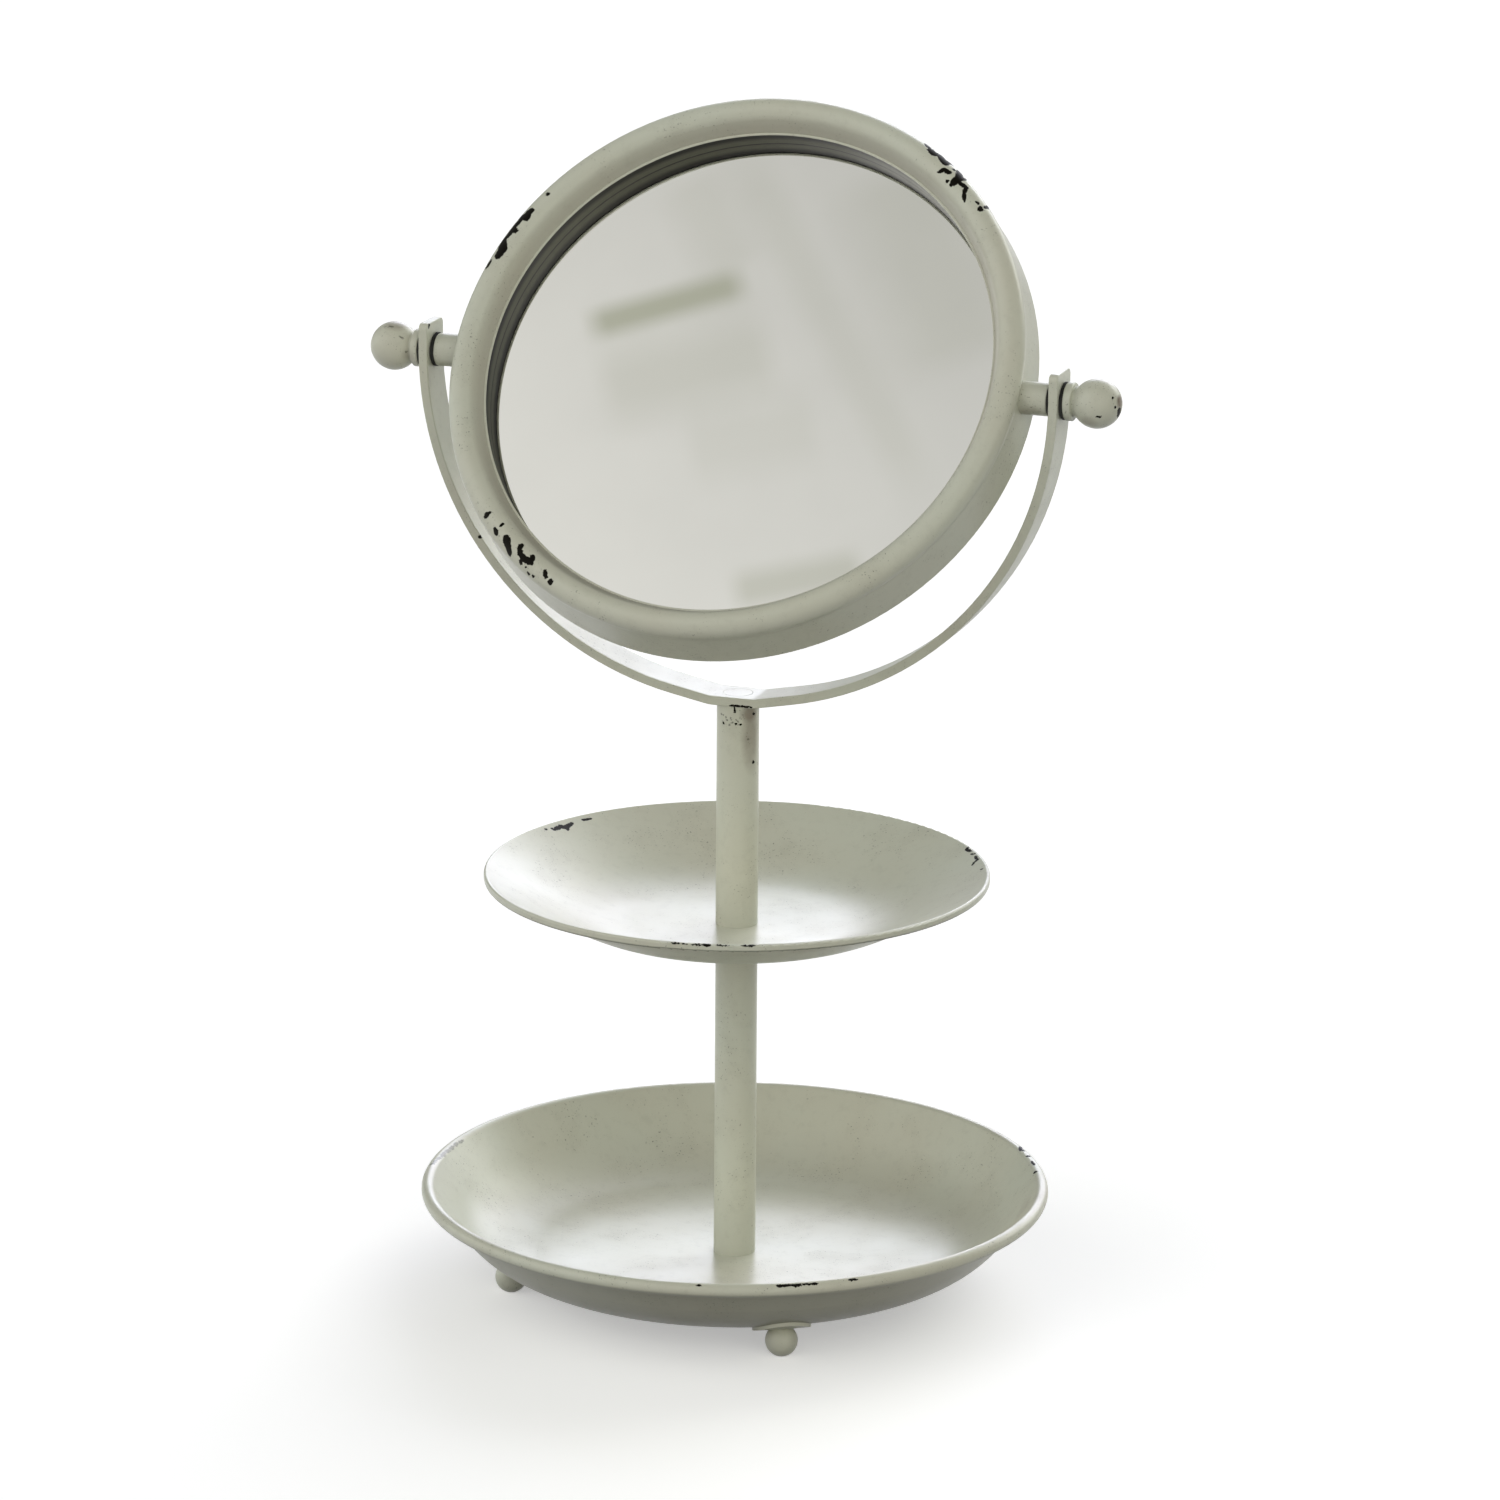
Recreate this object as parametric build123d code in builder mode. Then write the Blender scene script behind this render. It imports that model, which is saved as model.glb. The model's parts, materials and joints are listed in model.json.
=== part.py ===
from build123d import *
import os
from dataclasses import dataclass
from math import acos, atan2, cos, degrees, radians, sin, tan

# Vanity mirror on a two-tier stand: a round mirror tilts in a yoke above two open dishes on one post.
# Millimetres and degrees. +Z is up, X is the tilt axis, the origin is on the table under the post.

# Feet
foot_ball_radius = 6.15
foot_flat_depth = 0.55  # cut off the ball where it stands
foot_stand_off = 3.9  # ball centre up to the flat underside of the base dish
foot_overhang = 11.0  # ball centre outside the dish's flat floor
foot_pad_radius = 11.0
foot_pad_thickness = 1.2
foot_angles = {"rear_right": 31.0, "rear_left": 121.0, "front_left": 211.0, "front_right": 301.0}

# Base dish and upper tray
dish_sheet = 1.2
base_radius = 120.0  # outside of the rolled rim
base_wall_reach = 44.0  # flat floor's edge to the outside of the rim
base_wall_angle = 52.4  # from the horizontal
base_depth = 29.8  # underside of the floor to the top of the rim
base_rim_width = 5.2
base_rim_height = 5.2
tray_radius = 95.8
tray_wall_reach = 55.8
tray_wall_angle = 26.9
tray_depth = 21.8
tray_rim_width = 1.8
tray_rim_height = 3.0

# Post, and the rod inside that clamps the stand together
post_radius = 8.0
post_wall = 1.2
lower_post_length = 130.3
upper_post_length = 86.8
rod_radius = 3.0
rod_tail = 1.5  # rod below the nut
rod_grip = 10.0  # rod inside the top plug
bush_length = 6.0
plug_length = 24.0
nut_across_flats = 10.0
nut_thickness = 5.0
rod_washer_radius = 6.0
rod_washer_thickness = 1.2
fit_clearance = 0.05  # radial, turned piece in a bore
rod_clearance = 0.2  # radial, rod or screw through a drilled sheet
hole_relief = 0.5  # bore beyond the end of a thread

# Mirror: frame, glass and the pieces behind it
rest_tilt = 37.3  # mirror's face from the vertical
mirror_radius = 110.4  # outside of the bead
bezel_width = 12.4
bead_radius = 5.2
lip_drop = 3.3  # bead's centre down to the lip round the glass
crease_angle = 36.0  # where the bead turns into the drum, below the bead's centre
drum_depth = 24.3  # front of the bead to the rear edge
drum_flare = 0.75  # the rear edge is wider than the bead
axis_to_rear = 11.4  # tilt axis to the rear edge
frame_sheet = 1.0
hem_width = 3.2
glass_inset = 3.4  # glass edge inside the bead's outside
glass_thickness = 3.0
board_thickness = 1.5
cover_depth = 1.7
cover_clearance = 0.2

# Yoke
yoke_gap = 11.3  # bead to the yoke's inner face
yoke_thickness = 3.5
yoke_width = 17.0
yoke_end_rise = 11.0  # above the tilt axis
yoke_corner_radius = 2.5
yoke_edge_radius = 0.5
yoke_seat_half = 9.0  # flat over the post
yoke_seat_drop = 0.6  # the flat lies this far below the arc
yoke_seat_fillet = 14.0
yoke_screw_length = 14.0
screw_head_radius = 5.5

# Tilt pivots
boss_radius = 6.2
boss_edge_radius = 0.6
side_washer_thickness = 1.0
inner_washer_radius = 6.4
outer_washer_radius = 7.0
inner_play = 0.45  # washer to the yoke, whose arc comes in below the axis
outer_play = 0.3
stud_radius = 2.95
stud_grip = 9.0  # stud inside the boss
stud_chamfer = 0.6
pivot_clearance = 0.1  # radial, stud in the yoke and the washers
knob_reach = 12.8  # yoke's outer face to the ball's centre
knob_ball_radius = 9.2
knob_neck_radius = 5.5
knob_collar_radius = 7.2
knob_collar_length = 3.0
knob_collar_fillet = 0.7
knob_bore_depth = 9.0

# Heights and radii that follow
foot_height = foot_ball_radius - foot_flat_depth
foot_circle_radius = base_radius - base_wall_reach + foot_overhang
base_underside = foot_height + foot_stand_off
base_floor = base_underside + dish_sheet
tray_underside = base_floor + lower_post_length
tray_floor = tray_underside + dish_sheet
yoke_seat = tray_floor + upper_post_length
yoke_inner_radius = mirror_radius + yoke_gap
yoke_outer_radius = yoke_inner_radius + yoke_thickness
axis_height = yoke_seat + yoke_seat_drop + yoke_outer_radius
post_bore_radius = post_radius - post_wall
rod_hole_radius = rod_radius + rod_clearance
rod_thread_radius = rod_radius + fit_clearance

# Mirror section in (radius, distance in front of the tilt axis)
drum_rear = -axis_to_rear
glass_front = drum_rear + frame_sheet + cover_depth + board_thickness + glass_thickness
opening_radius = mirror_radius - bezel_width
bead_centre = Vector(mirror_radius - bead_radius, drum_rear + drum_depth - bead_radius)
bezel_lip = Vector(opening_radius, bead_centre.Y - lip_drop)
rear_edge = Vector(mirror_radius + drum_flare, drum_rear)
crease = bead_centre + Vector(bead_radius, 0).rotate(Axis.Z, -crease_angle)
glass_radius = mirror_radius - glass_inset

# Planes and axes
pivot = Vector(0, 0, axis_height)
tilt = radians(rest_tilt)
mirror_axis = Axis(pivot, (0, -cos(tilt), sin(tilt)))
mirror_plane = Plane(origin=pivot, x_dir=(1, 0, 0), z_dir=(0, -sin(tilt), -cos(tilt)))
pivot_axis = Axis(pivot, (1, 0, 0))
sides = {"left": -1, "right": 1}
boss_face = yoke_inner_radius - inner_play - side_washer_thickness
collar_face = yoke_outer_radius + outer_play + side_washer_thickness

os.makedirs("parts", exist_ok=True)


def finish(piece, name):
    """Name a finished piece and write it."""
    piece.part.label = name
    export_step(piece.part, f"parts/{name}.step")


@dataclass
class Dish:
    """A spun dish, and the points of its half section in (radius, height)."""

    radius: float
    wall_reach: float
    wall_angle: float
    depth: float
    rim_width: float
    rim_height: float
    underside: float

    def __post_init__(self):
        roll = self.rim_width / 2
        slope = radians(self.wall_angle)
        self.floor = self.underside + dish_sheet
        self.flat_radius = self.radius - self.wall_reach
        self.roll_centre = Vector(self.radius - roll, self.underside + self.depth - roll)
        self.upward = Vector(-sin(slope), cos(slope))
        # The wall's upper side touches the rolled rim, and a round bend joins it to the floor.
        wall_top = self.roll_centre + self.upward * roll
        corner_radius = wall_top.X - (wall_top.Y - self.floor) / tan(slope)
        self.bend_radius = (corner_radius - self.flat_radius) / tan(slope / 2)
        self.bend_centre = Vector(self.flat_radius, self.floor + self.bend_radius)

    def draw_run(self, below, start_radius):
        """Floor, bend and wall as one run, this far below the upper side."""
        height = self.floor - below
        wall_end = self.roll_centre + self.upward * (self.rim_width / 2 - below)
        Line((start_radius, height), (self.flat_radius, height))
        bend = CenterArc(self.bend_centre, self.bend_radius + below, -90, self.wall_angle)
        Line(bend @ 1, wall_end)
        return wall_end


def make_dish(dish):
    """Floor with a hole for the rod, round bend, straight wall and rolled rim."""
    with BuildPart() as piece:
        with BuildSketch(Plane.XZ):
            with BuildLine():
                upper_end = dish.draw_run(0, rod_hole_radius)
                lower_end = dish.draw_run(dish_sheet, rod_hole_radius)
                Line(upper_end, lower_end)
                Line((rod_hole_radius, dish.underside), (rod_hole_radius, dish.underside + dish_sheet))
            make_face()
            with Locations(dish.roll_centre):
                Circle(dish.rim_width / 2)
            hem = dish.rim_height - dish.rim_width
            if hem > 0:
                with Locations(dish.roll_centre - Vector(0, hem / 2)):
                    Rectangle(dish.rim_width, hem)
                with Locations(dish.roll_centre - Vector(0, hem)):
                    Circle(dish.rim_width / 2)
        revolve(axis=Axis.Z)
    return piece


def make_turned(plane, axis, inner_radius, outer_radius, start, length):
    """A turned ring or disc: its section lies on the plane, with the axis along local y."""
    with BuildPart() as piece:
        with BuildSketch(plane):
            with Locations(((inner_radius + outer_radius) / 2, start + length / 2)):
                Rectangle(outer_radius - inner_radius, length)
        revolve(axis=axis)
    return piece


def upright_ring(inner_radius, outer_radius, bottom, height):
    """A ring or tube round the post's axis."""
    return make_turned(Plane.XZ, Axis.Z, inner_radius, outer_radius, bottom, height)


def mirror_ring(inner_radius, outer_radius, rear, thickness):
    """A ring or disc behind the mirror's frame."""
    return make_turned(mirror_plane, mirror_axis, inner_radius, outer_radius, rear, thickness)


def side_plane(side):
    """Section plane of a pivot: local x runs outward along the tilt axis, local y upward."""
    return Plane(origin=pivot, x_dir=(side, 0, 0), z_dir=(0, -side, 0))


def side_ring(side, inner_radius, outer_radius, start, length):
    """A washer round the tilt axis, this far out from the mirror's centre."""
    with BuildPart() as piece:
        with BuildSketch(side_plane(side)):
            with Locations((start + length / 2, (inner_radius + outer_radius) / 2)):
                Rectangle(length, outer_radius - inner_radius)
        revolve(axis=pivot_axis)
    return piece


def drum_wall_radius(distance):
    """Outside of the drum at this distance in front of the tilt axis."""
    share = (distance - rear_edge.Y) / (crease.Y - rear_edge.Y)
    return rear_edge.X + share * (crease.X - rear_edge.X)


def draw_frame_skin():
    """Outer side of the mirror's frame: flank, bead and drum, from the lip to the rear edge."""
    reach = bezel_lip - bead_centre
    flank_angle = degrees(atan2(reach.Y, reach.X) - acos(bead_radius / reach.length)) % 360
    bead = CenterArc(bead_centre, bead_radius, flank_angle, -crease_angle - flank_angle)
    Line(bezel_lip, bead @ 0)
    Line(bead @ 1, rear_edge)


# Base dish and upper tray
base = Dish(base_radius, base_wall_reach, base_wall_angle, base_depth, base_rim_width, base_rim_height,
            base_underside)
tray = Dish(tray_radius, tray_wall_reach, tray_wall_angle, tray_depth, tray_rim_width, tray_rim_height,
            tray_underside)
finish(make_dish(base), "base_dish")
finish(make_dish(tray), "upper_tray")

# Feet: a ball under a thin pad that follows the dish's underside
pad_lower = dish_sheet + foot_pad_thickness
for place, angle in foot_angles.items():
    outward = Vector(1, 0).rotate(Axis.Z, angle)
    section_plane = Plane(origin=(0, 0, 0), x_dir=outward, z_dir=outward.cross(Vector(0, 0, 1)))
    with BuildPart() as foot:
        with BuildSketch(section_plane):
            with BuildLine():
                upper_end = base.draw_run(dish_sheet, 0)
                lower_end = base.draw_run(pad_lower, 0)
                Line(upper_end, lower_end)
                Line((0, base_underside), (0, base_underside - foot_pad_thickness))
            make_face()
        revolve(axis=Axis.Z)
        with BuildSketch(Plane.XY):
            with Locations(outward * foot_circle_radius):
                Circle(foot_pad_radius)
        extrude(amount=base_underside + base_depth, mode=Mode.INTERSECT)
        with Locations(outward * foot_circle_radius + Vector(0, 0, foot_height)):
            Sphere(foot_ball_radius)
        with BuildSketch(section_plane):
            with BuildLine():
                wall_end = base.draw_run(dish_sheet, 0)
                Polyline(wall_end, (0, wall_end.Y), (0, base_underside))
            make_face()
        revolve(axis=Axis.Z, mode=Mode.SUBTRACT)
        split(bisect_by=Plane.XY, keep=Keep.TOP)
    finish(foot, f"foot_{place}")

# Posts with their bushes
bush_radius = post_bore_radius - fit_clearance
bush_starts = {
    "lower_post_bush_bottom": base_floor,
    "lower_post_bush_top": tray_underside - bush_length,
    "upper_post_bush": tray_floor,
}
finish(upright_ring(post_bore_radius, post_radius, base_floor, lower_post_length), "lower_post")
finish(upright_ring(post_bore_radius, post_radius, tray_floor, upper_post_length), "upper_post")
for bush_name, bush_start in bush_starts.items():
    finish(upright_ring(rod_hole_radius, bush_radius, bush_start, bush_length), bush_name)

# Top plug, threaded for the rod from below and for the yoke's screw from above
rod_top = yoke_seat - plug_length + rod_grip
screw_tip = yoke_seat + yoke_thickness - yoke_screw_length
with BuildPart() as top_plug:
    with BuildSketch(Plane.XY.offset(yoke_seat)):
        Circle(bush_radius)
    extrude(amount=-plug_length)
    with Locations((0, 0, yoke_seat)):
        Hole(rod_thread_radius, depth=yoke_seat - screw_tip + hole_relief)
    with Locations(Plane.XY.offset(yoke_seat - plug_length).rotated((180, 0, 0))):
        Hole(rod_thread_radius, depth=rod_grip + hole_relief)
finish(top_plug, "top_plug")

# Rod, washer and nut under the base dish
nut_top = base_underside - rod_washer_thickness
rod_bottom = nut_top - nut_thickness - rod_tail
with BuildPart() as tie_rod:
    with BuildSketch(Plane.XY.offset(rod_bottom)):
        Circle(rod_radius)
    extrude(amount=rod_top - rod_bottom)
    chamfer(tie_rod.edges().filter_by(GeomType.CIRCLE), length=stud_chamfer)
finish(tie_rod, "tie_rod")
finish(upright_ring(rod_hole_radius, rod_washer_radius, nut_top, rod_washer_thickness), "base_washer")
with BuildPart() as base_nut:
    with BuildSketch(Plane.XY.offset(nut_top - nut_thickness)):
        RegularPolygon(nut_across_flats / 2, 6, major_radius=False)
        Circle(rod_thread_radius, mode=Mode.SUBTRACT)
    extrude(amount=nut_thickness)
finish(base_nut, "base_nut")

# Yoke: a bent strip with a flat seat over the post and a hole for each stud
seat_corner = Vector(yoke_seat_half, yoke_seat)
seat_reach = seat_corner - Vector(0, axis_height)
seat_turn = acos(yoke_outer_radius / seat_reach.length)
touch_angle = degrees(atan2(seat_reach.Y, seat_reach.X) + seat_turn)
with BuildPart() as yoke:
    with BuildSketch(Plane.XZ):
        with BuildLine():
            arc = CenterArc((0, axis_height), yoke_outer_radius, touch_angle, -touch_angle)
            FilletPolyline((0, yoke_seat), seat_corner, arc @ 0, radius=yoke_seat_fillet)
            Line(arc @ 1, arc @ 1 + Vector(0, yoke_end_rise))
            offset(amount=yoke_thickness, side=Side.LEFT)
        make_face()
        mirror(about=Plane.YZ)
    extrude(amount=yoke_width / 2, both=True)
    end_corners = yoke.edges().filter_by(Axis.X).group_by(Axis.Z)[-1]
    fillet(end_corners, radius=yoke_corner_radius)
    fillet(yoke.faces().filter_by(Axis.Y).edges(), radius=yoke_edge_radius)
    with Locations(Plane(origin=pivot, z_dir=(1, 0, 0))):
        Hole(stud_radius + pivot_clearance)
    with Locations((0, 0, yoke_seat + yoke_thickness)):
        CounterSinkHole(rod_hole_radius, screw_head_radius + rod_clearance, depth=yoke_thickness,
                        counter_sink_angle=90)
finish(yoke, "yoke")

# Countersunk screw through the yoke's seat
yoke_top = yoke_seat + yoke_thickness
with BuildPart() as yoke_screw:
    with BuildSketch(Plane.XZ):
        with BuildLine():
            Polyline(
                (0, yoke_top),
                (screw_head_radius, yoke_top),
                (rod_radius, yoke_top - screw_head_radius + rod_radius),
                (rod_radius, screw_tip),
                (0, screw_tip),
                close=True,
            )
        make_face()
    revolve(axis=Axis.Z)
finish(yoke_screw, "yoke_screw")

# Mirror's frame: one sheet spun into the wall round the glass, the bead, the drum and the rear hem
with BuildPart() as mirror_frame:
    with BuildSketch(mirror_plane):
        with BuildLine():
            Line((opening_radius, glass_front), bezel_lip)
            draw_frame_skin()
            Line(rear_edge, rear_edge - Vector(hem_width, 0))
            offset(amount=frame_sheet, side=Side.LEFT)
        make_face()
    revolve(axis=mirror_axis)
finish(mirror_frame, "mirror_frame")

# Glass, its edge packing, the board behind it and the cover that the hem holds
glass_rear = glass_front - glass_thickness
board_rear = glass_rear - board_thickness
cover_radius = drum_wall_radius(glass_front) - frame_sheet - cover_clearance
finish(mirror_ring(0, glass_radius, glass_rear, glass_thickness), "mirror_glass")
finish(mirror_ring(0, glass_radius, board_rear, board_thickness), "backing_board")
finish(
    mirror_ring(glass_radius + fit_clearance, cover_radius, board_rear, glass_front - board_rear),
    "edge_packing",
)
with BuildPart() as back_cover:
    with BuildSketch(mirror_plane):
        with BuildLine():
            Line((0, board_rear), (cover_radius, board_rear))
            Line((cover_radius, board_rear), (cover_radius, board_rear - cover_depth))
            offset(amount=frame_sheet, side=Side.RIGHT)
        make_face()
    revolve(axis=mirror_axis)
finish(back_cover, "back_cover")

# Tilt pivots, alike on both sides: boss, two thin washers, stud and ball knob
ball_centre = Vector(yoke_outer_radius + knob_reach, 0)
bore_end = collar_face + knob_bore_depth
boss_root = bead_centre.X
stud_start = boss_face - stud_grip
washer_bore = stud_radius + pivot_clearance
for place, side in sides.items():
    with BuildPart() as boss:
        with BuildSketch(Plane(origin=pivot + Vector(side * boss_root, 0, 0), z_dir=(side, 0, 0))):
            Circle(boss_radius)
            Circle(stud_radius + fit_clearance, mode=Mode.SUBTRACT)
        extrude(amount=boss_face - boss_root)
        outer_face = boss.faces().sort_by_distance(pivot)[-1]
        fillet(outer_face.outer_wire().edges(), radius=boss_edge_radius)
        with BuildSketch(mirror_plane):
            with BuildLine():
                draw_frame_skin()
                Polyline(rear_edge, (0, drum_rear), (0, bezel_lip.Y), bezel_lip)
            make_face()
        revolve(axis=mirror_axis, mode=Mode.SUBTRACT)
    finish(boss, f"boss_{place}")

    inner_washer = side_ring(side, washer_bore, inner_washer_radius, boss_face, side_washer_thickness)
    finish(inner_washer, f"inner_washer_{place}")
    outer_washer = side_ring(side, washer_bore, outer_washer_radius, collar_face - side_washer_thickness,
                             side_washer_thickness)
    finish(outer_washer, f"outer_washer_{place}")

    with BuildPart() as stud:
        with BuildSketch(Plane(origin=pivot + Vector(side * stud_start, 0, 0), z_dir=(side, 0, 0))):
            Circle(stud_radius)
        extrude(amount=bore_end - hole_relief - stud_start)
        chamfer(stud.edges().filter_by(GeomType.CIRCLE), length=stud_chamfer)
    finish(stud, f"knob_stud_{place}")

    with BuildPart() as knob:
        with BuildSketch(side_plane(side)):
            with BuildLine():
                Polyline(
                    (collar_face, knob_neck_radius),
                    (collar_face, knob_collar_radius),
                    (collar_face + knob_collar_length, knob_collar_radius),
                    (collar_face + knob_collar_length, knob_neck_radius),
                    close=True,
                )
            make_face()
            fillet(vertices().group_by(Axis.Y)[-1], radius=knob_collar_fillet)
            with Locations((ball_centre.X, 0)):
                Circle(knob_ball_radius)
            with Locations(((collar_face + ball_centre.X) / 2, 0)):
                Rectangle(ball_centre.X - collar_face, 2 * knob_neck_radius)
            with Locations((collar_face, 0)):
                Rectangle(2 * knob_bore_depth, 2 * (stud_radius + fit_clearance), mode=Mode.SUBTRACT)
            with Locations((ball_centre.X, -knob_ball_radius)):
                Rectangle(4 * knob_ball_radius, 2 * knob_ball_radius, mode=Mode.SUBTRACT)
        revolve(axis=pivot_axis)
    finish(knob, f"knob_{place}")
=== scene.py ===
import json
from math import cos, pi, radians, sin, sqrt

import bpy
from mathutils import Matrix, Vector


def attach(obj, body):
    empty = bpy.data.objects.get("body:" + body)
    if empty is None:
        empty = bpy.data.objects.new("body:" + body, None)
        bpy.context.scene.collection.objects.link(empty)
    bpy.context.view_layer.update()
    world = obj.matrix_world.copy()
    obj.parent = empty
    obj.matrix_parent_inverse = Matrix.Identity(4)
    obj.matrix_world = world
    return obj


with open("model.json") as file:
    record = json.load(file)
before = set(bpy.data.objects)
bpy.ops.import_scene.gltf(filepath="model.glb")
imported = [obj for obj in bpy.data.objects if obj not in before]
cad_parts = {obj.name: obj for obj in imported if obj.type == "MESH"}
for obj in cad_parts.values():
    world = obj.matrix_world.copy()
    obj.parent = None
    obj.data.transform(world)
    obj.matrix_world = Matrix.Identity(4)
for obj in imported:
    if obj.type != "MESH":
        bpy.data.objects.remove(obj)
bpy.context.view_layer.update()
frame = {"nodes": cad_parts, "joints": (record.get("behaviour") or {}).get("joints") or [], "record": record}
nodes = frame["nodes"]

# Places on the object; lengths here and in the tables below are in mm
pivot = next(Vector(joint["pos_m"]) for joint in frame["joints"] if joint["name"] == "mirror_tilt")
mm = 0.001
mirror_tilt = radians(37.3)
mirror_side = Vector((1, 0, 0))
mirror_up = Vector((0, sin(mirror_tilt), cos(mirror_tilt)))
mirror_front = Vector((0, -cos(mirror_tilt), sin(mirror_tilt)))
mirror_axes = Matrix((mirror_side, mirror_up, mirror_front)).transposed()
bead_radius = 5.2
bead_middle = 105.2  # from the mirror's centre
bead_height = 7.7  # in front of the tilt axis
bead_edge = 110.2
opening_radius = 98.0
glass_front = -4.2  # below 0: behind the tilt axis
lip_front = 4.4
lip_radius = 0.35  # of the ring's half-round edge
lip_drop = 0.6  # lip's front down to the ring's back
lip_middle = 97.6
lip_root = 98.3  # inside the wall
lip_steps = 6
lip_turns = 360

# The photograph's camera, in degrees and metres; its lens and sensor are in mm
camera_azimuth = 19.14  # round the object from the front, to the right
camera_pitch = 15.64  # downward
camera_roll = 0.41
camera_distance = 2.6227
camera_lens = 167.16
sensor_width = 36.0
aim_side = 0.0046  # aim point, to the camera's right of the post's axis
aim_height = 0.210


# Wear: each stroke is a run of points, and a point ends in its half width

width_margin = 0.33  # on every half width, because a point may lie a little off the surface
width_factor = 1.1
bezel_chips = [  # degrees clockwise from the top, radius, half width
    [(30.5, 109.5, 0.3), (32.2, 108.8, 1.1), (33.4, 108.3, 1.2), (34.5, 109.3, 1.0),
     (36.7, 108.3, 1.4), (36.9, 109.6, 0.7)],
    [(37.6, 104.2, 0.2), (38.2, 106.2, 0.9), (39.3, 106.7, 0.6)],
    [(39.8, 109.9, 0.8), (41.6, 107.7, 1.7), (41.7, 105.5, 1.1), (41.7, 104.3, 0.4)],
    [(41.6, 107.7, 1.1), (41.9, 109.5, 0.8)],
    [(42.7, 106.9, 0.7), (44.2, 107.8, 0.7), (45.0, 105.9, 0.5), (46.7, 104.1, 0.4)],
    [(40.5, 103.9, 0.4)], [(39.1, 108.9, 0.4)], [(37.6, 110.1, 0.3)],
    [(48.1, 107.5, 0.3), (48.9, 107.7, 0.3)],
    [(50.1, 107.2, 0.9)],
    [(50.0, 109.1, 0.5), (49.6, 110.2, 0.6)],
    [(-54.6, 106.3, 0.5)],
    [(-59.4, 106.6, 1.0), (-60.2, 107.2, 1.1), (-61.0, 105.8, 1.4), (-61.3, 108.0, 1.1),
     (-62.4, 107.7, 1.0), (-63.7, 107.8, 1.0), (-64.5, 108.2, 1.1), (-65.9, 107.7, 1.0),
     (-67.2, 108.3, 1.0), (-68.5, 107.4, 1.5), (-69.4, 106.2, 2.0), (-70.9, 106.2, 1.0)],
    [(-64.8, 107.0, 0.8), (-64.6, 106.0, 0.8)],
    [(-72.7, 108.3, 0.8), (-73.8, 108.3, 0.8)],
    [(-131.4, 106.0, 0.6), (-131.3, 107.9, 0.9)],
    [(-135.2, 104.3, 0.4), (-135.3, 105.1, 0.5)],
    [(-135.2, 107.6, 0.8), (-135.9, 107.9, 0.9)],
    [(-138.4, 106.5, 1.3), (-139.5, 107.3, 1.2), (-140.4, 108.3, 1.0), (-141.1, 109.0, 0.8)],
    [(-141.9, 103.6, 0.5), (-142.3, 105.4, 0.8), (-143.4, 106.5, 1.0), (-144.9, 106.6, 1.0),
     (-146.3, 106.0, 1.0), (-145.7, 104.0, 0.6)],
    [(-144.3, 108.3, 0.7)], [(-145.9, 108.4, 0.3)], [(-147.0, 109.4, 0.4)], [(-148.3, 109.1, 0.4)],
    [(-150.0, 105.1, 0.5), (-150.9, 106.6, 0.7)],
    [(-152.4, 107.2, 0.8)],
]
tray_chips = [  # x, y, z, half width
    [(-87.0, 31.4, 161.7, 0.3), (-85.8, 31.7, 161.2, 0.5), (-84.9, 35.7, 161.5, 0.8),
     (-83.0, 37.3, 160.9, 1.0), (-82.3, 41.3, 161.5, 0.5)],
    [(-83.0, 37.3, 160.9, 0.8), (-82.2, 36.5, 160.4, 0.4)],
    [(-88.3, 28.8, 161.9, 0.3)],
    [(-79.8, 46.9, 161.7, 0.3), (-78.8, 48.0, 161.6, 0.5), (-77.6, 49.9, 161.6, 0.3)],
    [(72.4, 60.0, 162.5, 0.3), (72.5, 58.7, 162.1, 0.7), (74.7, 56.7, 162.4, 0.3)],
    [(75.9, 53.9, 162.0, 0.2), (76.5, 53.7, 162.2, 0.4), (77.2, 53.4, 162.4, 0.3)],
    [(78.6, 50.8, 162.2, 0.3), (80.6, 47.2, 162.2, 0.5), (80.0, 46.4, 161.7, 0.5),
     (79.6, 45.1, 161.2, 0.4), (79.4, 44.0, 160.9, 0.3)],
    [(85.6, 36.4, 161.9, 0.4)],
]
tray_rim_place = (95.35, 162.65)  # radius and height of the chips on its edge
tray_edge_chips = [  # degrees from the right-hand side, half width
    [(-84.8, 0.1), (-84.0, 0.4), (-83.5, 0.1)],
    [(-83.0, 0.0), (-81.3, 0.05), (-79.5, 0.2), (-78.1, 0.6), (-77.0, 0.6), (-76.7, 0.3)],
    [(-75.2, 0.1), (-74.6, 0.4), (-73.8, 0.1)],
    [(-73.2, 0.05), (-72.7, 0.2), (-72.3, 0.05)],
    [(-69.5, 0.2), (-68.4, 0.6), (-66.9, 0.2)],
    [(-65.0, 0.0)],
]
base_chips = [  # x, y, z, half width
    [(91.6, 74.6, 39.2, 0.3), (92.3, 71.5, 39.2, 0.7), (94.2, 70.3, 39.3, 0.4)],
    [(97.5, 65.0, 39.3, 0.6)],
    [(100.7, 59.6, 39.3, 0.3), (102.6, 55.9, 39.2, 0.4)],
    [(105.4, 48.8, 39.0, 0.6)],
]
base_rim_place = (118.8, 38.9)  # radius and height of the chips on its edge
base_edge_chips = [  # degrees from the right-hand side, half width
    [(-77.3, 0.3), (-76.8, 0.4)],
    [(-63.1, 0.2), (-62.1, 0.6), (-61.4, 0.3), (-60.6, 0.4), (-58.9, 0.6)],
    [(-58.4, 0.1), (-57.2, 0.3), (-55.9, 0.3)],
    [(-49.8, 0.2), (-49.2, 0.4), (-48.6, 0.2)],
]
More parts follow.
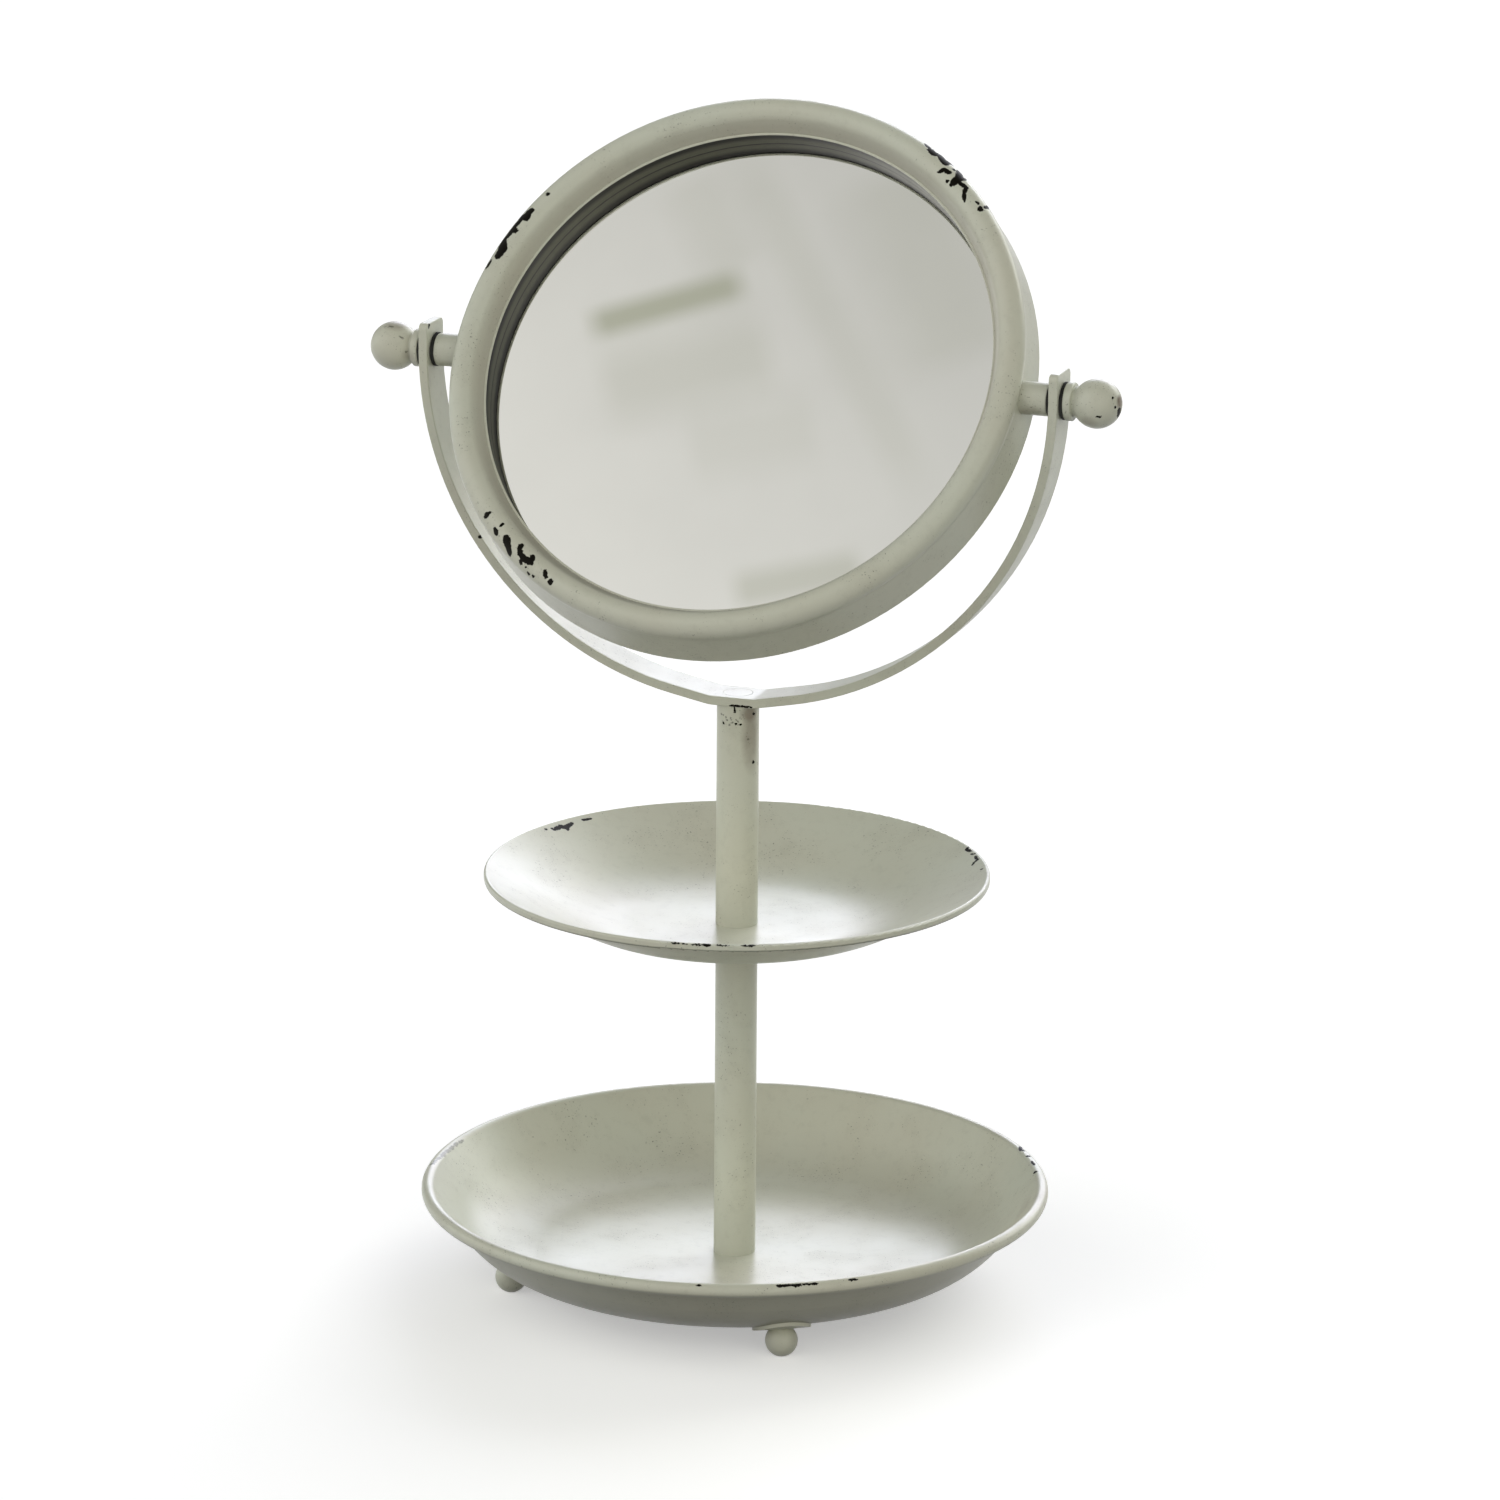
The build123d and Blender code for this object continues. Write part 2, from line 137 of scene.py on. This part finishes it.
base_scuffs = [  # x, y, z, half width
    [(-115.4, -24.9, 39.2, 0.5), (-115.0, -23.1, 39.3, 0.5), (-115.6, -18.6, 39.3, 0.3),
     (-115.3, -14.8, 39.0, 0.9), (-115.9, -8.4, 39.0, 0.6), (-115.7, -4.7, 38.7, 0.7),
     (-115.8, 0.5, 38.8, 0.6), (-115.6, 4.3, 38.7, 0.5), (-115.2, 8.7, 38.5, 0.4)],
]
post_chips = [  # x, y, z, half width
    [(-0.2, -8.4, 229.3, 0.1), (0.9, -8.4, 229.4, 0.2), (4.6, -8.5, 229.5, 0.3),
     (5.7, -8.5, 229.5, 0.2), (8.4, -8.5, 229.8, 0.1)],
    [(1.3, -7.9, 228.4, 0.2), (1.3, -7.9, 226.8, 0.3)],
    [(-3.3, -7.3, 222.2, 0.3)], [(2.0, -7.8, 222.4, 0.2)], [(3.6, -7.2, 222.2, 0.2)],
    [(7.3, -3.2, 225.7, 0.3)], [(7.3, -3.2, 206.8, 0.4)],
]
post_scuffs = [  # x, y, z, half width
    [(-0.7, -8.0, 221.7, 0.2)], [(-4.2, -6.8, 225.4, 0.2)], [(6.0, -5.3, 216.2, 0.3)],
    [(-3.3, -7.3, 225.4, 0.1)], [(-2.0, -7.7, 224.6, 0.1)], [(-1.6, -7.8, 223.5, 0.1)],
    [(-0.3, -8.0, 224.6, 0.1)], [(0.1, -8.0, 223.9, 0.1)], [(0.5, -8.0, 222.8, 0.1)],
    [(2.0, -7.8, 223.9, 0.1)], [(3.4, -7.3, 224.6, 0.1)], [(4.3, -6.8, 225.7, 0.1)],
    [(2.7, -7.6, 223.2, 0.1)],
]
yoke_chips = [  # x, y, z, half width
    [(-100.6, -8.5, 285.7, 0.5)], [(-121.8, -6.1, 364.8, 0.5)],
]
ball_chips = [  # x, y, z, half width
    [(147.0, -2.0, 353.4, 1.2), (146.6, -0.8, 351.2, 0.8)],
    [(145.2, -4.5, 358.4, 0.25)], [(146.0, -4.5, 355.1, 0.2)],
    [(141.4, -8.0, 351.8, 0.2), (140.4, -8.3, 351.9, 0.2)],
]
ball_scuffs = [  # x, y, z, half width
    [(137.6, -8.2, 355.6, 0.3), (139.0, -8.8, 355.4, 0.2)],
    [(-138.8, -4.0, 363.0, 0.3), (-136.8, -4.6, 363.2, 0.2)],
    [(-132.4, -5.8, 359.3, 0.3), (-133.4, -6.4, 359.9, 0.2)],
    [(-131.1, -6.1, 354.1, 0.3)],
]
brown_stains = {  # middle, half sizes, share of the colour
    "upper_post": [((7.0, -4.5, 216.0), (4.5, 5.0, 15.0), 0.45),
                   ((6.0, -4.5, 226.0), (4.0, 4.5, 4.0), 0.55)],
    "knob_right": [((147.0, -1.0, 356.5), (1.4, 3.4, 3.6), 1.0),
                   ((137.0, -6.0, 350.0), (4.0, 4.0, 3.0), 0.25)],
    "knob_left": [((-136.0, -3.0, 364.0), (7.0, 6.0, 3.0), 0.35),
                  ((-130.0, -6.0, 353.0), (3.0, 4.0, 3.0), 0.25)],
    "base_dish": [((108.0, 24.0, 33.0), (4.0, 10.0, 6.0), 0.18)],
    "boss_right": [((114.0, -4.0, 350.0), (7.0, 6.0, 4.0), 0.30)],
}


def worn_width(width):
    return (width * width_factor + width_margin) * mm


def bezel_point(clock, radius, width):
    """A point on the front of the rolled edge, and the half width there."""
    angle = radians(clock)
    across = min(radius, bead_edge) - bead_middle
    height = bead_height + sqrt(bead_radius ** 2 - across ** 2)
    local = Vector((radius * sin(angle), radius * cos(angle), height))
    return pivot + mirror_axes @ local * mm, worn_width(width)


def edge_point(azimuth, radius, height, width):
    """A point on a dish's rim."""
    angle = radians(azimuth)
    return Vector((radius * cos(angle), radius * sin(angle), height)) * mm, worn_width(width)


def place_point(x, y, z, width):
    return Vector((x, y, z)) * mm, worn_width(width)


def ellipsoids(strokes):
    """Ellipsoids that cover strokes, one between each two points: (middle, turn, half sizes)."""
    found = []
    for stroke in strokes:
        if len(stroke) == 1:
            stroke = stroke * 2
        for (start, start_width), (end, end_width) in zip(stroke, stroke[1:]):
            along = end - start
            width = (start_width + end_width) / 2
            turn = along.to_track_quat("X", "Z").to_euler() if along.length else (0, 0, 0)
            found.append(((start + end) / 2, turn, (along.length / 2 + width, width, width)))
    return found


# Node graphs

class Graph:
    """Adds nodes to one tree and links them in the order they are named."""

    def __init__(self, tree):
        self.tree = tree
        tree.nodes.clear()

    def add(self, kind, inputs=None, **settings):
        """A node with its settings, and its inputs set to a value or linked to a socket."""
        node = self.tree.nodes.new(kind)
        for name, value in settings.items():
            setattr(node, name, value)
        for name, value in (inputs or {}).items():
            if isinstance(value, bpy.types.NodeSocket):
                self.tree.links.new(value, node.inputs[name])
            else:
                node.inputs[name].default_value = value
        return node

    def math(self, operation, first, second=0.0):
        return self.add("ShaderNodeMath", {0: first, 1: second}, operation=operation).outputs[0]

    def vector(self, operation, first, second=(0, 0, 0)):
        node = self.add("ShaderNodeVectorMath", {0: first, 1: second}, operation=operation)
        return node.outputs[0]

    def length(self, vector):
        return self.add("ShaderNodeVectorMath", {0: vector}, operation="LENGTH").outputs["Value"]

    def inside(self, place, centre, turn, half_sizes=(1, 1, 1)):
        """A place as seen from a turned and scaled frame of its own."""
        return self.add("ShaderNodeMapping", {
            "Vector": place, "Location": centre, "Rotation": turn, "Scale": half_sizes},
            vector_type="TEXTURE").outputs[0]

    def height_of(self, vector):
        """A vector's third coordinate."""
        return self.add("ShaderNodeSeparateXYZ", {0: vector}).outputs[2]

    def radius_of(self, vector):
        """A vector's distance from the third axis."""
        return self.length(self.vector("MULTIPLY", vector, (1, 1, 0)))

    def nearness(self, place, shapes):
        """How deep a place is in the ellipsoids: 1 in one's middle, 0 on it and outside."""
        most = None
        for shape in shapes:
            deep = self.add("ShaderNodeTexGradient", {"Vector": self.inside(place, *shape)},
                            gradient_type="SPHERICAL").outputs["Fac"]
            most = deep if most is None else self.math("MAXIMUM", most, deep)
        return most

    def noise(self, place, scale, detail=3.0, roughness=0.5):
        """Noise as (value, colour) with this many waves to the metre."""
        node = self.add("ShaderNodeTexNoise", {
            "Vector": place, "Scale": scale, "Detail": detail, "Roughness": roughness})
        return node.outputs["Fac"], node.outputs["Color"]

    def ramp(self, value, low, high, out_low=0.0, out_high=1.0):
        """A straight ramp of a value, held at both ends."""
        node = self.add("ShaderNodeMapRange", {
            "Value": value, "From Min": low, "From Max": high,
            "To Min": out_low, "To Max": out_high})
        return node.outputs["Result"]

    def length_ramp(self, length, low, high, out_low=0.0, out_high=1.0):
        """A ramp of a length, between two lengths in mm."""
        return self.ramp(length, low * mm, high * mm, out_low, out_high)

    def mix(self, share, first, second):
        """A colour between two colours."""
        node = self.add("ShaderNodeMix", data_type="RGBA")
        for number, value in ((0, share), (6, first), (7, second)):
            socket = node.inputs[number]
            if isinstance(value, bpy.types.NodeSocket):
                self.tree.links.new(value, socket)
            else:
                socket.default_value = value
        return node.outputs[2]

    def finish(self, shader, kind="ShaderNodeOutputMaterial"):
        output = self.add(kind)
        self.tree.links.new(shader.outputs[0], output.inputs[0])


def new_object(name, corners, faces):
    """An object of these faces in the scene."""
    mesh = bpy.data.meshes.new(name)
    mesh.from_pydata(corners, [], faces)
    mesh.update()
    made = bpy.data.objects.new(name, mesh)
    bpy.context.scene.collection.objects.link(made)
    return made


def new_material(name):
    material = bpy.data.materials.new(name)
    material.use_nodes = True
    return material, Graph(material.node_tree)


def dress(material, *names):
    """Give CAD nodes this material."""
    for name in names:
        mesh = nodes[name].data
        mesh.materials.clear()
        mesh.materials.append(material)


# Paint

cream = (0.62, 0.64, 0.55, 1)
cream_warm = (0.60, 0.595, 0.50, 1)
bare_metal = (0.006, 0.005, 0.003, 1)
# also the painted shade under the upper tray's rim
scuff_and_shade_grey = (0.125, 0.13, 0.10, 1)
# also the painted shade on what faces down
grime_and_shade = (0.15, 0.15, 0.105, 1)
# also the painted shade, with a brown wash, on the mirror's inner flank
stain_and_shade_brown = (0.14, 0.09, 0.055, 1)
# painted shade on the wall round the glass: dark grey, and black under the lip and at the glass
recess_shade_grey = (0.095, 0.098, 0.070, 1)
recess_shade_black = (0.002, 0.002, 0.0015, 1)
chip_gloss = (0.12, 0.12, 0.12, 1)
full_gloss = (1, 1, 1, 1)
paint_noises = {  # waves to the metre, detail, roughness
    "broad": (14.0, 3.0, 0.5),
    "patch": (55.0, 5.0, 0.65),
    "rub": (230.0, 5.0, 0.7),
    "speck": (1300.0, 1.0, 0.5),
    "grain": (900.0, 4.0, 0.6),
    "ragged": (650.0, 4.0, 0.7),
}
noise_middle = (0.35, 0.65)  # most of a noise's values lie between these
noise_wide = (0.3, 0.7)
general_wear = [  # noise, its values where this wear starts and is full, share, colour
    ("patch", 0.52, 0.78, 0.11, grime_and_shade),
    ("rub", 0.52, 0.72, 0.09, scuff_and_shade_grey),
]
speck_values = (0.68, 0.72)
speck_share = 0.7
speck_patches = (0.48, 0.60)  # specks lie where the patch noise is above these values
stain_edge = 0.55  # a mark is full this deep in its ellipsoid, from 0 on its surface to 1
scuff_edge = 0.4
chip_edge = 0.10
stain_patches = (0.30, 0.55, 0.4, 1.0)  # two values of the patch noise, a stain's strength at each
scuff_share = 0.8
ragged_reach = 0.0021  # noise moves a mark's outline by up to half of this, in m
paint_roughness = (0.30, 0.38)
chip_roughness = 0.25  # more than the paint's
paint_specular = 0.4
grain_height = 0.10  # share of a chip's depth
chip_depth = 0.00012  # in m
paint_bump = 0.5

# Painted shade that belongs to a place, with a brown wash on the mirror's inner flank too: each pair is
# where it is full and where it ends
flank_stain_and_shade = (1.2, 4.0)  # outside the opening: the brown wash and painted shade on the bead's inner flank
flank_share = 0.30
lip_shade = (-1.6, 0.9)  # in front of the tilt axis: where it starts and where it is full
foot_line = (0.2, 0.5)  # above the glass: the painted black shade at the wall's foot
wall_skin = (0.05, 0.2)  # outside the opening, for the wall's painted shade
wall_top = (0.25, 0.1)  # below the lip's front, for the wall's painted shade
down_normals = (-0.95, -0.30)  # upward part of the surface's normal: where the painted shade on what faces down is full, and where it ends
down_share = 0.92
rim_foot = (160.1, 160.8)  # heights on the upper tray of the painted shade under its rim
rim_inside = (94.0, 94.3)  # radii on the upper tray: where it starts and where it is full
rim_share = 0.85


def recess_painted_shade(graph, place, colour):
    """Painted shade on the wall round the glass, black under the lip and at the glass's foot, and a brown
    wash with painted shade on the bead's inner flank: its paint, and the share of it that has little gloss.
    """
    local = graph.inside(place, pivot, mirror_axes.to_euler())
    outside = graph.radius_of(local)
    height = graph.height_of(local)
    # brown wash and painted shade on the bead's inner flank
    flank_start, flank_end = (opening_radius + distance for distance in flank_stain_and_shade)
    flank = graph.length_ramp(outside, flank_start, flank_end, flank_share, 0.0)
    colour = graph.mix(flank, colour, stain_and_shade_brown)
    # painted shade: black under the lip and at the glass's foot, dark grey between
    under_lip = graph.length_ramp(height, *lip_shade)
    foot_start, foot_end = (glass_front + distance for distance in foot_line)
    foot = graph.length_ramp(height, foot_start, foot_end, 1.0, 0.0)
    wall = graph.mix(graph.math("MAXIMUM", under_lip, foot), recess_shade_grey, recess_shade_black)
    skin_start, skin_end = (opening_radius + distance for distance in wall_skin)
    inside = graph.length_ramp(outside, skin_start, skin_end, 1.0, 0.0)
    top_start, top_end = (lip_front - distance for distance in wall_top)
    below_lip = graph.length_ramp(height, top_start, top_end, 1.0, 0.0)
    wall_share = graph.math("MULTIPLY", inside, below_lip)
    return graph.mix(wall_share, colour, wall), wall_share


def underside_painted_shade(graph, place, colour):
    """Painted shade on what faces down, with no loss of gloss."""
    facing = graph.height_of(graph.add("ShaderNodeNewGeometry").outputs["Normal"])
    return graph.mix(graph.ramp(facing, *down_normals, down_share, 0.0), colour, grime_and_shade), 0.0


def rim_painted_shade(graph, place, colour):
    """Painted shade on the lower edge of the upper tray's rim, with no loss of gloss."""
    foot = graph.length_ramp(graph.height_of(place), *rim_foot, rim_share, 0.0)
    share = graph.math("MULTIPLY", foot, graph.length_ramp(graph.radius_of(place), *rim_inside))
    return graph.mix(share, colour, scuff_and_shade_grey), 0.0


def paint(name, chips=(), scuffs=(), stains=(), finish=None):
    """Worn off-white paint on metal, with its chips, scuffs and stains in their places, and the painted
    shade that finish adds.
    """
    material, graph = new_material(name)
    place = graph.add("ShaderNodeTexCoord").outputs["Object"]
    noises = {which: graph.noise(place, *values) for which, values in paint_noises.items()}
    patch, _ = noises["patch"]

    # Colour
    colour = graph.mix(graph.ramp(noises["broad"][0], *noise_middle), cream, cream_warm)
    for noise_name, start, full, share, wear_colour in general_wear:
        worn = graph.ramp(noises[noise_name][0], start, full, 0.0, share)
        colour = graph.mix(worn, colour, wear_colour)
    speck = graph.ramp(noises["speck"][0], *speck_values, 0.0, speck_share)
    colour = graph.mix(graph.math("MULTIPLY", speck, graph.ramp(patch, *speck_patches)),
                       colour, scuff_and_shade_grey)
    for centre, half_sizes, share in stains:
        shape = (Vector(centre) * mm, (0, 0, 0), Vector(half_sizes) * mm)
        soft = graph.ramp(graph.nearness(place, [shape]), 0.0, stain_edge, 0.0, share)
        soft = graph.math("MULTIPLY", soft, graph.ramp(patch, *stain_patches))
        colour = graph.mix(soft, colour, stain_and_shade_brown)
    matt = 0.0
    # finish adds painted shade, and may take gloss away
    if finish:
        colour, matt = finish(graph, place, colour)

    # Scuffs and chips, with ragged outlines
    shove = graph.vector("SUBTRACT", noises["ragged"][1], (0.5, 0.5, 0.5))
    shove = graph.vector("MULTIPLY", shove, (ragged_reach, ragged_reach, ragged_reach))
    shoved = graph.vector("ADD", place, shove)
    if scuffs:
        depth = graph.nearness(shoved, ellipsoids(scuffs))
        colour = graph.mix(graph.ramp(depth, 0.0, scuff_edge, 0.0, scuff_share), colour, scuff_and_shade_grey)
    height = graph.math("MULTIPLY", noises["grain"][0], grain_height)
    roughness = graph.ramp(patch, *noise_wide, *paint_roughness)
    if chips:
        bare = graph.ramp(graph.nearness(shoved, ellipsoids(chips)), 0.0, chip_edge)
        colour = graph.mix(bare, colour, bare_metal)
        height = graph.math("SUBTRACT", height, bare)
        roughness = graph.math("ADD", roughness, graph.math("MULTIPLY", bare, chip_roughness))
        matt = graph.math("MAXIMUM", bare, matt)

    bump = graph.add("ShaderNodeBump", {
        "Height": height, "Strength": paint_bump, "Distance": chip_depth})
    shader = graph.add("ShaderNodeBsdfPrincipled", {
        "Base Color": colour, "Roughness": roughness, "Normal": bump.outputs[0],
        "Specular IOR Level": paint_specular,
        "Specular Tint": graph.mix(matt, full_gloss, chip_gloss)})
    graph.finish(shader)
    return material


# Other materials

plain_looks = {  # colour, darker colour, roughness from and to, metallic
    "zinc_steel": ((0.50, 0.50, 0.48, 1), (0.38, 0.38, 0.36, 1), (0.30, 0.43), 1.0),
    "black_rubber": ((0.004, 0.004, 0.003, 1), (0.007, 0.007, 0.006, 1), (0.65, 0.78), 0.0),
    "fibreboard": ((0.20, 0.13, 0.08, 1), (0.14, 0.09, 0.055, 1), (0.75, 0.88), 0.0),
}
plain_noise = (300.0, 4.0, 0.6)  # waves to the metre, detail, roughness
plain_depth = 0.00005  # in m
plain_bump = 0.3
silver = (0.86, 0.86, 0.84, 1)
hazy_silver = (0.83, 0.83, 0.81, 1)
silver_roughness = (0.012, 0.022)
haze_waves = 22.0


def plain_material(name):
    """A material whose colour wanders between two shades."""
    colour, dark, roughness, metallic = plain_looks[name]
    material, graph = new_material(name)
    place = graph.add("ShaderNodeTexCoord").outputs["Object"]
    value, _ = graph.noise(place, *plain_noise)
    bump = graph.add("ShaderNodeBump", {
        "Height": value, "Strength": plain_bump, "Distance": plain_depth})
    shader = graph.add("ShaderNodeBsdfPrincipled", {
        "Base Color": graph.mix(graph.ramp(value, *noise_middle), colour, dark),
        "Roughness": graph.ramp(value, *noise_wide, *roughness),
        "Normal": bump.outputs[0], "Metallic": metallic})
    graph.finish(shader)
    return material


def silvered_glass():
    """Mirror glass: a clean silver with the faintest haze."""
    material, graph = new_material("silvered_glass")
    place = graph.add("ShaderNodeTexCoord").outputs["Object"]
    haze, _ = graph.noise(place, haze_waves)
    shader = graph.add("ShaderNodeBsdfPrincipled", {
        "Base Color": graph.mix(graph.ramp(haze, *noise_wide), silver, hazy_silver),
        "Roughness": graph.ramp(haze, *noise_wide, *silver_roughness), "Metallic": 1.0})
    graph.finish(shader)
    return material


def make_lip(material):
    """The turned edge of the frame's sheet round the opening, a thin half-round ring."""
    lip_back = lip_front - lip_drop
    section = [(lip_root, lip_back + 2 * lip_radius), (lip_middle, lip_back + 2 * lip_radius)]
    for step in range(1, lip_steps):
        angle = pi / 2 + pi * step / lip_steps
        section.append((lip_middle + lip_radius * cos(angle),
                        lip_back + lip_radius * (1 + sin(angle))))
    section += [(lip_middle, lip_back), (lip_root, lip_back)]
    corners, faces = [], []
    for turn in range(lip_turns):
        around = 2 * pi * turn / lip_turns
        for radius, height in section:
            local = Vector((radius * sin(around), radius * cos(around), height))
            corners.append(pivot + mirror_axes @ local * mm)
        here, there = turn * len(section), (turn + 1) % lip_turns * len(section)
        for place in range(len(section)):
            after = (place + 1) % len(section)
            faces.append((here + place, there + place, there + after, here + after))
    lip = new_object("mirror_lip", corners, faces)
    lip.data.materials.append(material)
    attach(lip, "mirror")


# Materials on the CAD nodes

def nodes_of(slot):
    return [part["node"] for part in frame["record"]["subparts"] if part["material_slot"] == slot]


def strokes_at(point, strokes, *fixed):
    """A table's strokes through the function that places a point; fixed goes before the width."""
    return [[point(*values[:-1], *fixed, values[-1]) for values in stroke] for stroke in strokes]


cream_paint = paint("cream_paint")
dress(cream_paint, *nodes_of("cream_paint"))
# the frame's paint with its chips, and the painted shade round the glass
dress(paint("mirror_paint", strokes_at(bezel_point, bezel_chips), finish=recess_painted_shade),
      "mirror_frame")
# the tray's paint with its chips, and painted shade under its rim
dress(paint("tray_paint",
            strokes_at(place_point, tray_chips)
            + strokes_at(edge_point, tray_edge_chips, *tray_rim_place),
            finish=rim_painted_shade), "upper_tray")
# the base dish's paint with its chips and scuffs, a stain, and painted shade on what faces down
dress(paint("dish_paint",
            strokes_at(place_point, base_chips)
            + strokes_at(edge_point, base_edge_chips, *base_rim_place),
            strokes_at(place_point, base_scuffs), brown_stains["base_dish"], underside_painted_shade),
      "base_dish")
dress(paint("post_paint", strokes_at(place_point, post_chips), strokes_at(place_point, post_scuffs),
            brown_stains["upper_post"]), "upper_post")
dress(paint("yoke_paint", strokes_at(place_point, yoke_chips + post_chips[:1])), "yoke")
dress(paint("boss_paint", stains=brown_stains["boss_right"]), "boss_right")
for side in ("left", "right"):
    dress(paint(f"ball_{side}_paint", strokes_at(place_point, ball_chips),
                strokes_at(place_point, ball_scuffs), brown_stains[f"knob_{side}"]), f"knob_{side}")
dress(plain_material("zinc_steel"), *nodes_of("zinc_steel"))
dress(plain_material("black_rubber"), *nodes_of("black_rubber"))
dress(plain_material("fibreboard"), "backing_board")
dress(silvered_glass(), "mirror_glass")
make_lip(cream_paint)


# Stage: floor, world and camera

studio_lights = [  # azimuth from the right-hand side, height, how narrow, colour
    (0, 35, 10, (0.70, 0.72, 0.66)),
    (225, 35, 10, (1.33, 1.31, 1.23)),
    (270, 35, 10, (0.43, 0.45, 0.46)),
    (315, 35, 10, (0.59, 0.58, 0.58)),
    (180, 8, 10, (1.84, 1.92, 1.74)),
    (225, 8, 10, (0.71, 0.69, 0.75)),
    (270, 8, 10, (0.38, 0.36, 0.27)),
    (315, 8, 10, (1.50, 1.45, 1.20)),
    (96, 18, 30, (3.65, 3.6, 4.1)),
    (96, 32, 30, (1.9, 2.0, 2.3)),
    (70, 35, 30, (2.65, 2.60, 2.46)),
    (83, 19, 150, (4.3, 4.2, 4.7)),
    (109, 20, 150, (4.8, 4.9, 5.5)),
    (60, 20, 40, (4.7, 4.85, 4.65)),
]
room_shades = [  # dark bars that the glass reflects: two ends, half width, share of room_dark
    ((-127.48, 55.78), (-126.07, 56.79), 0.115, 0.50),
    ((-126.80, 55.42), (-125.15, 56.48), 0.30, 0.145),
    ((-125.30, 55.45), (-123.96, 56.17), 0.28, 0.08),
    ((-127.62, 57.22), (-126.27, 56.85), 0.26, 0.09),
    ((-127.14, 57.62), (-122.29, 56.26), 0.17, 0.09),
    ((-125.17, 58.27), (-122.64, 57.31), 0.49, 0.13),
    ((-123.59, 54.68), (-122.27, 55.41), 0.14, 0.26),
]
room_dark = (0.20, 0.22, 0.08, 1)
bar_ends = (0.82, 1.14)  # a bar fades between these shares of its half length
bar_sides = (0.35, 1.55)  # and between these of its half width
floor_size = 14.0
floor_seen = (0.90, 0.90, 0.91, 1)
floor_glow = 0.38  # added to the floor that is seen
floor_bounce = 0.22  # the floor's colour for soft light
white = (1, 1, 1, 1)


def unit_direction(azimuth, height):
    """The direction at this azimuth and height, in degrees."""
    around, rise = radians(azimuth), radians(height)
    return Vector((cos(rise) * cos(around), cos(rise) * sin(around), sin(rise)))


def rays_seen(graph):
    """1 for camera, glossy and transmission rays, 0 for the rays that carry soft light."""
    path = graph.add("ShaderNodeLightPath")
    seen = graph.math("MAXIMUM", path.outputs["Is Camera Ray"], path.outputs["Is Glossy Ray"])
    return graph.math("MAXIMUM", seen, path.outputs["Is Transmission Ray"])


def soft_bar(graph, direction, start, end, half_width):
    """A soft-edged bar on the sky: 1 along its middle, 0 outside."""
    middle = (start + end) / 2
    outward = middle.normalized()
    along = (end - start).normalized()
    turn = Matrix((along, outward.cross(along), outward)).transposed().to_euler()
    local = graph.inside(direction, middle, turn, ((end - start).length / 2, half_width, 1))
    shares = graph.add("ShaderNodeSeparateXYZ", {0: graph.vector("ABSOLUTE", local)})
    ends = graph.ramp(shares.outputs[0], *bar_ends, 1.0, 0.0)
    sides = graph.ramp(shares.outputs[1], *bar_sides, 1.0, 0.0)
    return graph.math("MULTIPLY", ends, sides)


def make_floor():
    """A pale floor that keeps the object's shadow and sends little light back."""
    half = floor_size / 2
    corners = [(-half, -half, 0), (half, -half, 0), (half, half, 0), (-half, half, 0)]
    floor = new_object("floor", corners, [(0, 1, 2, 3)])
    material, graph = new_material("floor")
    seen = rays_seen(graph)
    bounce = (floor_bounce, floor_bounce, floor_bounce, 1)
    shader = graph.add("ShaderNodeBsdfPrincipled", {
        "Base Color": graph.mix(seen, bounce, floor_seen), "Roughness": 1.0,
        "Specular IOR Level": 0.0, "Emission Color": white,
        "Emission Strength": graph.math("MULTIPLY", seen, floor_glow)})
    graph.finish(shader)
    floor.data.materials.append(material)


def make_world():
    """Soft panels of light in a room that the camera sees as white."""
    world = bpy.data.worlds.new("studio")
    bpy.context.scene.world = world
    world.use_nodes = True
    graph = Graph(world.node_tree)
    direction = graph.add("ShaderNodeTexCoord").outputs["Generated"]
    glow = (0, 0, 0)
    for azimuth, height, narrow, colour in studio_lights:
        centre = unit_direction(azimuth, height)
        facing = graph.add("ShaderNodeVectorMath", {0: direction, 1: centre},
                           operation="DOT_PRODUCT").outputs["Value"]
        share = graph.math("POWER", graph.math("MAXIMUM", facing, 0.0), narrow)
        light = graph.add("ShaderNodeVectorMath", {0: colour, "Scale": share},
                          operation="SCALE").outputs[0]
        glow = graph.vector("ADD", glow, light)
    for start, end, half_width, share in room_shades:
        shade = soft_bar(graph, direction, unit_direction(*start), unit_direction(*end),
                         radians(half_width))
        glow = graph.mix(graph.math("MULTIPLY", shade, share), glow, room_dark)
    camera_ray = graph.add("ShaderNodeLightPath").outputs["Is Camera Ray"]
    background = graph.add("ShaderNodeBackground", {"Color": graph.mix(camera_ray, glow, white)})
    graph.finish(background, "ShaderNodeOutputWorld")


def make_camera():
    """The photograph's camera, aimed at the middle of the object."""
    azimuth = radians(camera_azimuth)
    pitch = radians(camera_pitch)
    level_right = Vector((cos(azimuth), sin(azimuth), 0))
    back = Vector((sin(azimuth) * cos(pitch), -cos(azimuth) * cos(pitch), sin(pitch)))
    level_up = back.cross(level_right)
    roll = radians(camera_roll)
    right = level_right * cos(roll) + level_up * sin(roll)
    up = level_up * cos(roll) - level_right * sin(roll)
    camera = bpy.data.objects.new("camera", bpy.data.cameras.new("camera"))
    camera.data.lens = camera_lens
    camera.data.sensor_width = sensor_width
    camera.matrix_world = Matrix((right, up, back)).transposed().to_4x4()
    camera.location = level_right * aim_side + Vector((0, 0, aim_height)) + back * camera_distance
    bpy.context.scene.collection.objects.link(camera)
    bpy.context.scene.camera = camera


make_floor()
make_world()
make_camera()
bpy.context.scene.view_settings.view_transform = "Standard"
